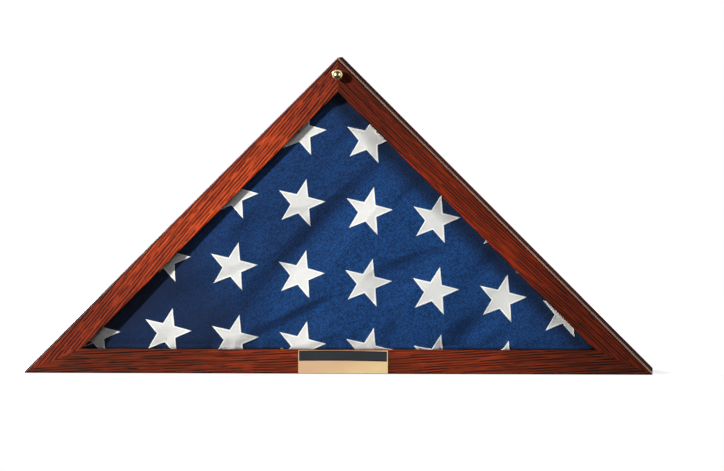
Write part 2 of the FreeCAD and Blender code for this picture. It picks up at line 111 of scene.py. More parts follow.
# Inset from the outline and depth along the sides, from front to back, in millimetres
SIDE_PROFILE = ((24.7, -20.0), (21.4, -12.5), (19.8, -5.0), (19.8, 17.5), (22.4, 25.5), (27.6, 29.6))
SHADED_SIDE = (26 * MM, 54 * MM)  # inset along the right over which the cloth is darkened as painted shade
SIDE_START = -25.0 * MM  # depth where the rolled edge ends
LAYER = 6.5 * MM  # height of one folded layer at the sides
LAYER_DEPTH = 0.35 * MM
FLAG_CORNER = 2.8 * MM  # softness of the triangle's corners
LEAST_CORNER = 0.4 * MM  # at the middle of the front and of the back
FLAG_AROUND = 480
FRONT_RINGS, ROLL_RINGS, SIDE_RINGS, BACK_RINGS = 84, 14, 74, 20
CROWN_FALL, CROWN_WIDTH = 2.0 * MM, 24.0 * MM  # towards every edge
HOLLOW_DEPTH = 6.0 * MM  # in the lower left
HOLLOW_OUT = (90 * MM, 235 * MM)  # to the left of the middle
HOLLOW_IN = (40 * MM, 120 * MM)  # from the left side
RIGHT_FALL, BASE_FALL = 8.0 * MM, 2.5 * MM  # where the front rolls away
RIGHT_ROLL, BASE_ROLL = (-8 * MM, 16 * MM), (-4 * MM, 8 * MM)  # the stretch of that, from the turning line
WAVE_DEPTH = 0.5 * MM
CREASES = (
    # x, z, direction in degrees, length, steep and gentle widths, depth, all in millimetres
    (-26, 141, 47, 330, 21, 44, 9.0),
    (50, 117, 40, 46, 2.6, 4.5, 1.6),
    (70, 110, 20, 140, 20, 36, 10.0),
    (-34, 61, 27, 170, 14, 32, 6.8),
    (139, 43, 40, 95, 22, 24, 9.0),
    (163, 33, 36, 80, 13, 22, 6.6),
    (-142, 78, 36, 170, 34, 36, 5.0),
    (68, 182, 40, 80, 11, 24, 3.0),
    (150, 110, 33, 120, 13, 26, 3.0),
    (8, 245, 47, 90, 9, 20, 2.2),
    (-95, 150, 52, 100, 16, 26, 2.2),
)

# How its front settles as cloth
SETTLE_PITCH = 6.0 * MM  # of the simulated sheet's grid
SETTLE_STEPS = 20
SETTLE_QUALITY = 6
SETTLE_FULLNESS = 0.015  # how much the sheet is too large for its edge
SETTLE_GRAVITY = 0.0  # the glass and the boards carry the bundle
SETTLE_LIMIT = 3.0 * MM  # the most that a point may move
SETTLE_CALM = 50.0 * MM  # from the slanting edges to where the folds show in full

# Its stars: a slanting lattice in the plane of the front
STAR_RADIUS = 26.4 * MM
STAR_INNER = 0.400  # of the radius
STAR_TILT = math.radians(76.5)
STAR_START = (-39.2 * MM, 177.6 * MM)
STAR_STEP = (70.3 * MM, -8.35 * MM)
STAR_ROW = (-1.05 * MM, -74.8 * MM)
STAR_LIFT = 0.55 * MM
STAR_AROUND = 120
TURN_LIFT = 0.4 * MM  # more of it where the cloth turns over
TURN_REACH = 8.0 * MM  # from the turning line to where that starts
SAG_FROM = 85 * MM  # below this height the cloth has slipped in the fold
SAG = (2.2 * MM, -2.6 * MM)
SAG_LEAN = 0.024  # how much less it has slipped per length to the right
SAG_LEAN_FROM = -185.0 * MM
PULL_FROM = 195 * MM  # beyond this the fold draws the cloth in
PULL = (-5.0 * MM, -9.0 * MM)
STAR_ROWS = range(-1, 3)
STAR_COLUMNS = range(-3, 5)

# The knob and the screws, each by the radius of its head and of its shank, and its length, in millimetres
BACK_SCREW = (2.4, 1.1, 13.5)
LEAF_SCREW = (2.3, 1.15, 11.5)
THREAD_PITCH = 0.9 * MM
SCREW_AROUND = 64
KNOB_AROUND = 96
HEAD_REACH = 8.0 * MM  # points this near to each other are of one head
HEAD_LEVEL = 0.02 * MM  # and lie this near to its plane


class Wire:
    """A node's output, with the operators that the finishes use."""

    def __init__(self, finish, socket):
        self.finish = finish
        self.socket = socket

    def math(self, operation, *others):
        return self.finish.add("ShaderNodeMath", dict(operation=operation), [self, *others])[0]

    def __add__(self, other):
        return self.math("ADD", other)

    def __radd__(self, other):
        return self.math("ADD", other)

    def __sub__(self, other):
        return self.math("SUBTRACT", other)

    def __rsub__(self, other):
        return self.finish.add("ShaderNodeMath", dict(operation="SUBTRACT"), [other, self])[0]

    def __mul__(self, other):
        return self.math("MULTIPLY", other)

    def __rmul__(self, other):
        return self.math("MULTIPLY", other)

    def __truediv__(self, other):
        return self.math("DIVIDE", other)

    def __pow__(self, other):
        return self.math("POWER", other)

    def step(self, low, high):
        """A smooth rise from 0 at low to 1 at high."""
        settings = dict(interpolation_type="SMOOTHSTEP")
        return self.finish.add("ShaderNodeMapRange", settings, [self, low, high, 0.0, 1.0])[0]


class Finish:
    """A material, or the world, under construction."""

    def __init__(self, name, world=False):
        self.material = bpy.data.worlds.new(name) if world else bpy.data.materials.new(name)
        self.material.use_nodes = True
        self.tree = self.material.node_tree
        self.tree.nodes.clear()
        kind = "ShaderNodeOutputWorld" if world else "ShaderNodeOutputMaterial"
        self.output = self.tree.nodes.new(kind)

    def add(self, kind, settings=None, inputs=()):
        """A node with its settings and its inputs, by order or by name. Gives its outputs."""
        node = self.tree.nodes.new(kind)
        for key, value in (settings or {}).items():
            setattr(node, key, value)
        pairs = inputs.items() if isinstance(inputs, dict) else enumerate(inputs)
        for key, value in pairs:
            if isinstance(value, Wire):
                self.tree.links.new(value.socket, node.inputs[key])
            else:
                node.inputs[key].default_value = value
        return [Wire(self, socket) for socket in node.outputs if socket.enabled]

    def place(self, turn=0.0, scale=(1, 1, 1)):
        """Object coordinates, turned about the front's normal, then stretched."""
        where = self.add("ShaderNodeTexCoord")[3]
        turned = self.add("ShaderNodeMapping", {}, {0: where, 2: (0, turn, 0)})[0]
        return self.add("ShaderNodeMapping", {}, {0: turned, 3: scale})[0]

    def parts(self, vector):
        """The three numbers of a vector."""
        return self.add("ShaderNodeSeparateXYZ", {}, [vector])

    def vector(self, x, y, z):
        return self.add("ShaderNodeCombineXYZ", {}, [x, y, z])[0]

    def noise(self, vector, scale=1.0, detail=2.0, roughness=0.5):
        inputs = {"Vector": vector, "Scale": scale, "Detail": detail, "Roughness": roughness}
        return self.add("ShaderNodeTexNoise", {}, inputs)[0]

    def cells(self, vector, scale=1.0):
        """The distance to the nearest of scattered points."""
        return self.add("ShaderNodeTexVoronoi", {}, {"Vector": vector, "Scale": scale})[0]

    def blend(self, factor, first, second):
        """A mix of two colours."""
        settings = dict(data_type="RGBA", clamp_factor=True)
        return self.add("ShaderNodeMix", settings, {0: factor, 6: first, 7: second})[0]

    def bump(self, height, depth, strength=1.0):
        """A normal from a height of 0 to 1, where 1 stands for a depth in metres."""
        inputs = {"Height": height, "Distance": depth, "Strength": strength}
        return self.add("ShaderNodeBump", {}, inputs)[0]

    def principled(self, **inputs):
        """The surface shader, and the finished material."""
        named = {key.replace("_", " "): value for key, value in inputs.items()}
        shader = self.add("ShaderNodeBsdfPrincipled", {}, named)[0]
        return self.surface(shader)

    def background_seen(self):
        """1 for rays that show the background: straight views, mirror images and views through glass."""
        path = self.add("ShaderNodeLightPath")
        return path[0].math("MAXIMUM", path[3]).math("MAXIMUM", path[6])

    def surface(self, shader):
        self.tree.links.new(shader.socket, self.output.inputs["Surface"])
        return self.material


def srgb(red, green, blue):
    """A colour from its 0 to 255 screen values."""
    values = np.array([red, green, blue]) / 255
    linear = np.where(values < 0.04045, values / 12.92, ((values + 0.055) / 1.055) ** 2.4)
    return (*(float(value) for value in linear), 1.0)


def wood_figure(made, turn, heart, tilt, seed, figure):
    """The marks of open-pored wood: growth rings round a heart line, rows of dark vessels along the grain and
    short flecks. Gives the early wood, the fibres, the holes and a slow drift of tone, each from 0 to 1."""
    long, apart = figure
    along, depth, across = made.parts(made.place(turn))
    drift = made.noise(made.vector(along * 3.0 + seed, depth * 9.0, across * 9.0), 1.0, 2.0)
    waver = made.noise(made.vector(along * 14.0 + seed, depth * 40.0, across * 40.0), 1.0, 2.0)
    bend = (drift - 0.5) * 0.016 + (waver - 0.5) * 0.0022
    aside = across + bend - heart[1]
    slant = (along - heart[0]) * tilt + (depth - door_low.y) * 0.8
    radius = (aside * aside + slant * slant) ** 0.5
    ring = (radius / RING_WIDTH).math("FRACT")
    early = ring.step(0.0, 0.15) * (1 - ring.step(0.35, 0.75))
    fibre = made.noise(made.vector(along * 26.0 + seed, depth * 900.0, across * 1500.0), 1.0, 3.0, 0.6)
    row = across + bend
    wander = made.noise(made.vector(along * (30.0 / long) + seed, depth * 90.0, row * 140.0), 1.0, 2.0)
    line = (((row + depth * 0.9) / (VESSEL_PITCH * apart) + wander * 0.7) * (2 * math.pi)).math("SINE")
    gap = made.noise(made.vector(along * (90.0 / long) + seed, depth * 300.0, row * 420.0), 1.0, 2.0)
    where = made.vector(along * (170.0 / long), depth * 900.0, row * 1500.0 + seed)
    fleck = made.noise(where, 1.0, 1.0, 0.4)
    pore = line.step(-0.3, 0.3) * gap.step(0.38, 0.48) * (early * 0.3 + 0.7)
    hole = pore.math("MAXIMUM", fleck.step(0.54, 0.62) * 0.55)
    tone = made.noise(made.vector(along * 5.0, depth * 20.0 + seed, row * 60.0), 1.0, 2.0)
    return early, fibre, hole, tone


def stained_wood(
    name, turn, colours, heart, tilt, seed, middle, rim,
    skew=0.0, wear_and_painted_light=None, figure=(1.0, 1.0), shine=0.12, coat=0.05, deep=None,
):
    """Open-pored wood under red stain, paler towards a middle stretch. It darkens in a band along the outer
    edge, whose front arris can take a tint from a place along the grain on, as wear and as a painted
    highlight of the rounded edge, and can deepen towards an end. The figure gives the length and the spacing
    of the vessels."""
    pale, red, dark = colours
    made = Finish(name)
    length, depth, width = made.parts(made.place(turn))
    early, fibre, hole, tone = wood_figure(made, turn + skew, heart, tilt, seed, figure)
    off = length - middle[0]
    bright = 1 - (off * off).step(0.0, middle[1] * middle[1] + 1e-6)
    lit = early * 0.25 + fibre.step(0.3, 0.7) * 0.45 + tone.step(0.3, 0.7) * 0.3
    body = made.blend(lit * (bright * 0.7 + 0.3), red, pale)
    grooved = made.blend(hole * (1.0 - bright * 0.12), body, dark)
    # Darker in a band along the outer edge
    darker_edge = width.step(rim - DARKER_EDGE_BAND[0], rim - DARKER_EDGE_BAND[1]) * 0.72
    colour = made.blend(darker_edge, grooved, dark)
    if deep:
        colour = made.blend(length.step(*deep) * 0.4, colour, dark)
    # The front arris tint stands for wear and is a painted highlight of the rounded edge
    if wear_and_painted_light:
        painted_edge_light, start = wear_and_painted_light
        front = 1 - depth.step(door_low.y + ARRIS_TINT_DEPTH[0], door_low.y + ARRIS_TINT_DEPTH[1])
        arris = width.step(rim - ARRIS_TINT_EDGE[0], rim - ARRIS_TINT_EDGE[1]) * front
        arris_wear_and_highlight = arris * length.step(start - 0.03, start + 0.03) * (tone.step(0.2, 0.6) * 0.3 + 0.55)
        colour = made.blend(arris_wear_and_highlight, colour, painted_edge_light)
    return made.principled(
        Base_Color=colour,
        Roughness=hole * 0.22 + fibre * 0.12 + 0.34,
        Specular_IOR_Level=shine,
        Coat_Weight=(1 - hole) * coat,
        Coat_Roughness=0.2,
        Normal=made.bump(fibre * 0.25 - hole, 0.10 * MM, 0.5),
    )


def plywood():
    """The back's veneer: pale brown with soft arches of grain and a few darker streaks."""
    made = Finish("back_veneer")
    along, depth, across = made.parts(made.place(0.0))
    drift = made.noise(made.vector(along * 2.5, depth, across * 7.0), 1.0, 2.0)
    aside = across - 0.11 + (drift - 0.5) * 0.05
    slant = (along + 0.06) * 0.12
    ring = (((aside * aside + slant * slant) ** 0.5) / VENEER_RING).math("FRACT")
    fibre = made.noise(made.vector(along * 18.0, depth * 500.0, across * 1100.0), 1.0, 3.0, 0.6)
    fleck = made.noise(made.vector(along * 130.0, depth * 500.0, across * 900.0), 1.0, 1.0)
    late = ring.step(0.55, 0.95) * (1 - ring.step(0.96, 1.0))
    body = made.blend(late * 0.65 + fibre * 0.35, srgb(168, 118, 74), srgb(120, 76, 44))
    colour = made.blend(fleck.step(0.60, 0.70) * 0.6, body, srgb(84, 52, 30))
    return made.principled(
        Base_Color=colour,
        Roughness=fibre * 0.2 + 0.48,
        Normal=made.bump(fibre - fleck.step(0.6, 0.7), 0.06 * MM, 0.6),
    )


def plain_wood():
    """The splines' pale slips of hardwood."""
    made = Finish("spline_beech")
    along, depth, across = made.parts(made.place(0.0))
    fibre = made.noise(made.vector(along * 60.0, depth * 400.0, across * 900.0), 1.0, 3.0)
    colour = made.blend(fibre, srgb(190, 140, 96), srgb(146, 96, 60))
    return made.principled(Base_Color=colour, Roughness=fibre * 0.2 + 0.5)


def polished_brass(name, colour, tarnish, rough):
    """Lacquered brass, with faint cloudy tarnish and fine polishing marks."""
    made = Finish(name)
    where = made.place()
    cloud = made.noise(where, 160.0, 3.0)
    rub = made.noise(where, 2600.0, 2.0)
    mixed = made.blend(cloud.step(0.45, 0.8) * 0.5, colour, tarnish)
    return made.principled(
        Base_Color=mixed,
        Metallic=1.0,
        Roughness=cloud * 0.08 + rub * 0.05 + rough,
        Normal=made.bump(rub, 0.01 * MM, 0.25),
    )


def steel(name, colour, rough):
    """Plated steel with a little dulling."""
    made = Finish(name)
    where = made.place()
    cloud = made.noise(where, 300.0, 3.0)
    mark = made.noise(where, 3000.0, 2.0)
    mixed = made.blend(cloud, colour, tuple(value * 0.7 for value in colour[:3]) + (1.0,))
    return made.principled(
        Base_Color=mixed,
        Metallic=0.9,
        Roughness=cloud * 0.15 + mark * 0.1 + rough,
        Normal=made.bump(mark, 0.02 * MM, 0.3),
    )


def band_mask(value, start, end, soft=0.15 * MM):
    """1 between two places along a value, 0 outside."""
    return value.step(start - soft, start + soft) * (1 - value.step(end - soft, end + soft))


def plate_brass():
    """The bare plate: a dark enamelled upper band and a brushed lower band inside a thin brass border, the
    lower band lightening across it as a painted reflection.
    """
    made = Finish("plate_brass")
    where = made.place()
    x, y, z = made.parts(where)
    border = 0.9 * MM
    split = plate_low.z + 0.548 * (plate_high.z - plate_low.z)
    inside = band_mask(x, plate_low.x + border, plate_high.x - border)
    off = x - (plate_low.x + plate_high.x) / 2
    height = z + off * off * 0.25 + off * 0.006
    dark = inside * band_mask(height, split, plate_high.z - 0.3 * MM)
    field = band_mask(height, split + 1.0 * MM, plate_high.z - 1.2 * MM, 0.4 * MM)
    outline = dark * (1 - inside * field)
    brush = made.noise(made.vector(x * 30.0, y, z * 6000.0), 1.0, 2.0)
    cloud = made.noise(where, 40.0, 2.0)
    # Painted reflection: the brushed band grows lighter across one way, in place of a mirrored light
    sweep = (x * 0.4 - z).step(-plate_high.z * 0.7, plate_high.z * 0.5)
    pale = made.blend(sweep, srgb(234, 196, 160), srgb(255, 228, 172))
    gold = made.blend(brush * 0.35 + cloud * 0.25, pale, srgb(206, 164, 112))
    enamel = made.blend(cloud, srgb(50, 55, 60), srgb(38, 42, 46))
    colour = made.blend(dark, gold, made.blend(outline, enamel, srgb(8, 9, 9)))
    return made.principled(
        Base_Color=colour,
        Metallic=(1 - dark) * 0.22,
        Roughness=brush * 0.15 + 0.36 - dark * 0.08,
        Normal=made.bump(brush - dark * 2.0, 0.02 * MM, 0.4),
    )


def clear_glass():
    """Window glass: clear, with a mirror share that grows towards a glancing view, from outside or inside."""
    made = Finish("clear_glass")
    where = made.place()
    smear = made.noise(where, 22.0, 3.0)
    through = made.add("ShaderNodeBsdfTransparent", {}, {0: GLASS_TINT})[0]
    gloss = {"Color": (1, 1, 1, 1), "Roughness": smear * 0.03 + 0.015}
    shine = made.add("ShaderNodeBsdfAnisotropic", {}, gloss)[0]
    inner = made.add("ShaderNodeNewGeometry")[6]
    index = GLASS_IOR - inner * (GLASS_IOR - 1 / GLASS_IOR)
    share = made.add("ShaderNodeFresnel", {}, {"IOR": index})[0]
    mixed = made.add("ShaderNodeMixShader", {}, [share, through, shine])[0]
    return made.surface(mixed)


def twill(made, pitch, turn):
    """Diagonal threads: 0 in the furrows and 1 on the ridges, uneven as yarn is."""
    along, depth, across = made.parts(made.place(turn))
    wobble = made.noise(made.vector(along * 160.0, depth * 160.0, across * 320.0), 1.0, 2.0)
    return ((across / pitch + wobble * 0.9) * (2 * math.pi)).math("SINE") * 0.5 + 0.5


def flag_cloth():
    """Navy cotton twill with slubs, mottled, in diagonal faded patches that also serve as painted shade,
    darker above the main crease, towards the lower left and along the right side as painted shade, and
    lighter below the crease as a painted highlight."""
    made = Finish("flag_cotton")
    where = made.place()
    x, _, z = made.parts(where)
    lie = math.radians(33)
    ridge = twill(made, 2.3 * MM, lie)
    cross = twill(made, 1.6 * MM, math.radians(-52))
    slub = made.noise(made.place(lie, (90, 90, 420)), 1.0, 2.0)
    fade_and_painted_shade = made.noise(made.place(math.radians(38), (5, 5, 14)), 1.0, 1.0)
    mottle = made.noise(where, 110.0, 3.0)
    fuzz = made.noise(where, 900.0, 2.0)
    speck = made.noise(where, 520.0, 2.0)
    weave = ridge * 0.24 + cross * 0.16 + slub.step(0.2, 0.8) * 0.10
    light = weave + mottle.step(0.2, 0.8) * 0.12 + speck.step(0.36, 0.64) * 0.38
    body = made.blend(light, srgb(8, 18, 44), srgb(31, 86, 157))
    # Painted shade: the cloth is darker towards the lower left
    side = (x * 0.8 + z * 0.6).step(-0.085, -0.01)
    # Painted shade above the main crease and a painted highlight below it
    across, up, turn = CREASES[0][:3]
    way = math.radians(turn)
    above = ((z - up * MM) * math.cos(way) - (x - across * MM) * math.sin(way)).step(-12 * MM, 12 * MM)
    # Painted shade along the right side, next to the frame
    inset = EDGE - x * math.sin(SLOPE) - z * math.cos(SLOPE)
    painted_edge_light = inset.step(*SHADED_SIDE) * 0.75 + 0.25
    wear_and_painted_light = (fade_and_painted_shade.step(0.30, 0.72) * 0.26 + side * 0.46 + (1 - above) * 0.36) * painted_edge_light
    # Where fading and painted light are low, the cloth takes the darker navy
    colour = made.blend((1 - wear_and_painted_light) * 0.92, body, srgb(23, 31, 55))
    return made.principled(
        Base_Color=colour,
        Roughness=0.86 + fuzz * 0.1,
        Specular_IOR_Level=0.12,
        Sheen_Weight=0.08,
        Sheen_Roughness=0.5,
        Normal=made.bump(ridge * 0.5 + cross * 0.25 + fuzz * 0.4, 0.10 * MM, 0.5),
    )


def star_thread():
    """White embroidery: a dense fill of fine stitches inside a satin-stitched border."""
    made = Finish("star_embroidery")
    rim = made.add("ShaderNodeAttribute", dict(attribute_name="rim"))[2]
    stitch = twill(made, 1.15 * MM, math.radians(28))
    where = made.place()
    cloud = made.noise(where, 120.0, 3.0)
    fuzz = made.noise(where, 1500.0, 2.0)
    border = rim.step(0.80, 0.87)
    fill = made.blend(stitch * 0.5 + cloud * 0.5, srgb(216, 215, 216), srgb(243, 242, 242))
    colour = made.blend(border, fill, srgb(254, 254, 252))
    return made.principled(
        Base_Color=colour,
        Roughness=0.72 + fuzz * 0.12,
        Specular_IOR_Level=0.2,
        Sheen_Weight=0.1,
        Normal=made.bump(stitch * (1 - border) * 0.6 + fuzz * 0.3 + border, 0.2 * MM, 0.5),
    )


def tape_foam():
    """The pale adhesive foam behind the plate."""
    made = Finish("adhesive_foam")
    pit = made.cells(made.place(), 1800.0)
    colour = made.blend(pit, srgb(214, 206, 186), srgb(176, 168, 150))
    return made.principled(Base_Color=colour, Roughness=pit * 0.2 + 0.7, Normal=made.bump(pit, 0.03 * MM))


def ring_quads(count, around):
    """The faces between rings of points that follow each other."""
    ring, point = np.meshgrid(np.arange(count - 1), np.arange(around), indexing="ij")
    after = (point + 1) % around
    here, there = ring * around, (ring + 1) * around
    return np.stack([here + point, here + after, there + after, there + point], -1).reshape(-1, 4)


def closed_rings(name, rings, material, first_pole, last_pole):
    """A mesh through closed rings of points (ring, point, xyz), with a pole that closes each end."""
    count, around = rings.shape[:2]
    vertices = rings.reshape(-1, 3)
    faces = ring_quads(count, around).tolist()
    edge = np.arange(around)
    for pole, row, flip in ((first_pole, 0, True), (last_pole, count - 1, False)):
        tip = np.full(around, len(vertices))
        vertices = np.vstack([vertices, pole])
        here, there = row * around + edge, row * around + (edge + 1) % around
        fan = [here, tip, there] if flip else [here, there, tip]
        faces += np.stack(fan, -1).tolist()
    return finished(name, vertices, faces, material)


def finished(name, vertices, faces, material):
    """A smooth object at the origin with one material."""
    mesh = bpy.data.meshes.new(name)
    mesh.from_pydata(vertices.tolist(), [], faces)
    mesh.shade_smooth()
    mesh.update()
    mesh.materials.append(material)
    piece = bpy.data.objects.new(name, mesh)
    bpy.context.scene.collection.objects.link(piece)
    return piece


def face_outwards(piece):
    """Turns every face of a closed mesh outwards."""
    bpy.context.view_layer.objects.active = piece
    piece.select_set(True)
    bpy.ops.object.mode_set(mode="EDIT")
    bpy.ops.mesh.select_all(action="SELECT")
    bpy.ops.mesh.normals_make_consistent(inside=False)
    bpy.ops.object.mode_set(mode="OBJECT")
    piece.select_set(False)


def side_insets(x, z):
    """How far points lie inside the base, right and left sides of the outline."""
    right = EDGE - x * math.sin(SLOPE) - z * math.cos(SLOPE)
    left = EDGE + x * math.sin(SLOPE) - z * math.cos(SLOPE)
    return z, right, left


INWARDS = ((0.0, 1.0), (-math.sin(SLOPE), -math.cos(SLOPE)), (math.sin(SLOPE), -math.cos(SLOPE)))


def smooth(value, low, high):
    """A smooth rise from 0 at low to 1 at high."""
    t = np.clip((value - low) / (high - low), 0.0, 1.0)
    return t * t * (3 - 2 * t)


def shaped_depth(x, z):
    """How far back the flag's front lies at (x, z) as it is folded: a crown that falls away towards the
    edges, a hollow in the lower left, a roll along the right and the base, a slight wave, and creases, each a
    cosine bell across and along its line."""
    base, right, left = side_insets(x, z)
    edge = np.minimum(np.minimum(base, right), left)
    depth = flag_low.y + FLAG_CLEAR + CROWN_FALL * (1 - smooth(edge, FLAG_TURN, FLAG_TURN + CROWN_WIDTH))
    hollow = smooth(-x, *HOLLOW_OUT) * (1 - smooth(left, *HOLLOW_IN))
    depth = depth + HOLLOW_DEPTH * hollow
    for inset, fall, (low, high) in ((right, RIGHT_FALL, RIGHT_ROLL), (base, BASE_FALL, BASE_ROLL)):
        depth = depth + fall * (1 - smooth(inset, FLAG_TURN + low, FLAG_TURN + high))
    depth = depth + WAVE_DEPTH * (1 - np.sin(x * 24.0 + z * 31.0) * np.cos(z * 19.0 - x * 7.0)) / 2
    for across, up, turn, length, steep, gentle, deep in CREASES:
        way = math.radians(turn)
        along = (x - across * MM) * math.cos(way) + (z - up * MM) * math.sin(way)
        aside = (z - up * MM) * math.cos(way) - (x - across * MM) * math.sin(way)
        bell = np.cos(np.clip(along / (length * MM), -0.5, 0.5) * math.pi) ** 2
        width = np.where(aside > 0, steep, gentle) * MM
        fold = np.cos(np.clip(aside / width, -1.0, 1.0) * math.pi) * 0.5 + 0.5
        depth = depth + deep * MM * bell * fold
    return depth


def settled_sheet():
    """How far a cloth with the shaped form moves back as it settles: a grid of (z, x), from a sheet that is
    held at the turning line, a little too full, and stepped through a simulation."""
    x, z = np.meshgrid(SHEET_X, SHEET_Z)
    start = np.stack([x, shaped_depth(x, z), z], -1)
    rows, columns = x.shape
    row, column = np.meshgrid(np.arange(rows - 1), np.arange(columns - 1), indexing="ij")
    first = row * columns + column
    faces = np.stack([first, first + 1, first + columns + 1, first + columns], -1).reshape(-1, 4)
    mesh = bpy.data.meshes.new("settling_sheet")
    mesh.from_pydata(start.reshape(-1, 3).tolist(), [], faces.tolist())
    sheet = bpy.data.objects.new("settling_sheet", mesh)
    bpy.context.scene.collection.objects.link(sheet)
    held = np.flatnonzero(np.min(side_insets(x, z), 0).ravel() < FLAG_TURN)
    sheet.vertex_groups.new(name="held").add(held.tolist(), 1.0, "REPLACE")
    cloth = sheet.modifiers.new("cloth", "CLOTH").settings
    cloth.vertex_group_mass = "held"
    cloth.shrink_min = -SETTLE_FULLNESS
    cloth.effector_weights.gravity = SETTLE_GRAVITY
    cloth.quality = SETTLE_QUALITY
    scene = bpy.context.scene
    for step in range(1, SETTLE_STEPS + 1):
        scene.frame_set(step)
    settled = np.empty(start.size, np.float32)
    shape = sheet.evaluated_get(bpy.context.evaluated_depsgraph_get()).data
    shape.vertices.foreach_get("co", settled)
    moved = settled.reshape(start.shape)[..., 1] - start[..., 1]
    scene.frame_set(1)
    bpy.data.objects.remove(sheet)
    bpy.data.meshes.remove(mesh)
    return np.clip(moved, -SETTLE_LIMIT, SETTLE_LIMIT)


SHEET_X = np.arange(-HALF, HALF + SETTLE_PITCH, SETTLE_PITCH)
SHEET_Z = np.arange(0.0, APEX + SETTLE_PITCH, SETTLE_PITCH)
SETTLED = settled_sheet()


def front_depth(x, z):
    """How far back the flag's front lies at (x, z): the shaped form and how it settled, read between the four
    nearest points of the sheet."""
    across = np.clip((x - SHEET_X[0]) / SETTLE_PITCH, 0.0, len(SHEET_X) - 1.001)
    up = np.clip((z - SHEET_Z[0]) / SETTLE_PITCH, 0.0, len(SHEET_Z) - 1.001)
    column, row = across.astype(int), up.astype(int)
    right, above = across - column, up - row
    low = SETTLED[row, column] * (1 - right) + SETTLED[row, column + 1] * right
    high = SETTLED[row + 1, column] * (1 - right) + SETTLED[row + 1, column + 1] * right
    settled = low * (1 - above) + high * above
    _, right_inset, left_inset = side_insets(x, z)
    calm = smooth(np.minimum(right_inset, left_inset), FLAG_TURN, FLAG_TURN + SETTLE_CALM)
    return np.maximum(shaped_depth(x, z) + settled * calm, flag_low.y + FLAG_CLEAR)


def on_cloth(x, z, lift):
    """Lays flat points on the flag: past a side's turning line the cloth rolls over the edge and runs back.
    Raised points are raised more there, so that the curved cloth stays under them."""
    edge = np.min(side_insets(x, z), 0)
    lift = lift + TURN_LIFT * (lift > 0) * (1 - smooth(edge, FLAG_TURN, FLAG_TURN + TURN_REACH))
    out_x, out_z, back = x.copy(), z.copy(), np.zeros_like(x)
    edge_x, edge_z = x.copy(), z.copy()
    for inset, (in_x, in_z) in zip(side_insets(x, z), INWARDS):
        past = np.clip(FLAG_TURN - inset, 0.0, None)
        angle = np.minimum(past / FLAG_ROLL, math.pi / 2)
        outwards = (FLAG_ROLL + lift) * np.sin(angle)
        out_x += in_x * (past - outwards)
        out_z += in_z * (past - outwards)
        edge_x += in_x * past
        edge_z += in_z * past
        back += (FLAG_ROLL + lift) * (1 - np.cos(angle)) + np.clip(past - FLAG_ROLL * math.pi / 2, 0.0, None)
    return np.stack([out_x, front_depth(edge_x, edge_z) - lift + back, out_z], -1)


def flag_bundle(material):
    """The folded flag: rings of a soft-cornered triangle, carried from the middle of the front over the
    rolled edge, back along the layered sides and in again to the middle of the back."""
    turn = (np.arange(FLAG_AROUND) + 0.5) / FLAG_AROUND * 2 * math.pi
    ray = np.stack([np.cos(turn), np.sin(turn)], -1)
    reach = [1.0 / np.maximum(-(ray @ np.array(inwards)), 1e-3) for inwards in INWARDS]

    def ring_at(inset, corner):
        """The triangle at an inset, its corners eased by a soft minimum of the three sides."""
        sides = np.stack([(INRADIUS - inset) * r for r in reach])
        soft = -corner * np.log(np.sum(np.exp(-sides / corner), 0))
        return soft[:, None] * ray + np.array([0.0, INRADIUS])

    def laid(flat, depth):
        return np.stack([flat[:, 0], depth, flat[:, 1]], -1)

    rings = []
    for share in np.linspace(0.02, 1.0, FRONT_RINGS):
        inset = INRADIUS - (INRADIUS - FLAG_TURN) * share
        flat = ring_at(inset, (FLAG_CORNER - LEAST_CORNER) * share + LEAST_CORNER)
        rings.append(laid(flat, front_depth(flat[:, 0], flat[:, 1])))
    edge_depth = rings[-1][:, 1]
    for angle in np.linspace(0, math.pi / 2, ROLL_RINGS)[1:]:
        flat = ring_at(FLAG_TURN - FLAG_ROLL * math.sin(angle), FLAG_CORNER)
        rings.append(laid(flat, edge_depth + FLAG_ROLL * (1 - math.cos(angle))))
    insets = np.array([inset for inset, _ in SIDE_PROFILE]) * MM
    depths = np.array([depth for _, depth in SIDE_PROFILE]) * MM
    start = rings[-1][:, 1]
    for share in np.linspace(0, 1, SIDE_RINGS)[1:]:
        depth = start + (depths[-1] - start) * share
        inset = np.interp(depth, np.r_[SIDE_START, depths], np.r_[FLAG_TURN - FLAG_ROLL, insets])
        fold = np.abs(np.sin(math.pi * (depth - depths[-1]) / LAYER)) ** 0.5
        rings.append(laid(ring_at(inset + LAYER_DEPTH * (1 - fold), FLAG_CORNER), depth))
    for share in np.linspace(1.0, 0.04, BACK_RINGS)[1:]:
        flat = ring_at(INRADIUS - (INRADIUS - insets[-1]) * share, FLAG_CORNER * share + LEAST_CORNER)
        rings.append(laid(flat, depths[-1] + WAVE_DEPTH / 2 * np.sin(flat[:, 0] * 55.0) * (1 - share)))
    front = np.array([0.0, float(front_depth(np.array(0.0), np.array(INRADIUS))), INRADIUS])
    back = np.array([0.0, depths[-1], INRADIUS])
    piece = closed_rings("folded_flag_cloth", np.stack(rings), material, front, back)
    face_outwards(piece)
    return piece


def star_outline(turn):
    """The radius of a five-pointed star at an angle, as a share of its points' radius."""
    fifth = math.pi / 5
    local = np.abs((turn + fifth) % (2 * fifth) - fifth)
    tip = np.array([1.0, 0.0])
    notch = STAR_INNER * np.array([math.cos(fifth), math.sin(fifth)])
    run = notch - tip
    return (tip[0] * run[1] - tip[1] * run[0]) / (np.cos(local) * run[1] - np.sin(local) * run[0])


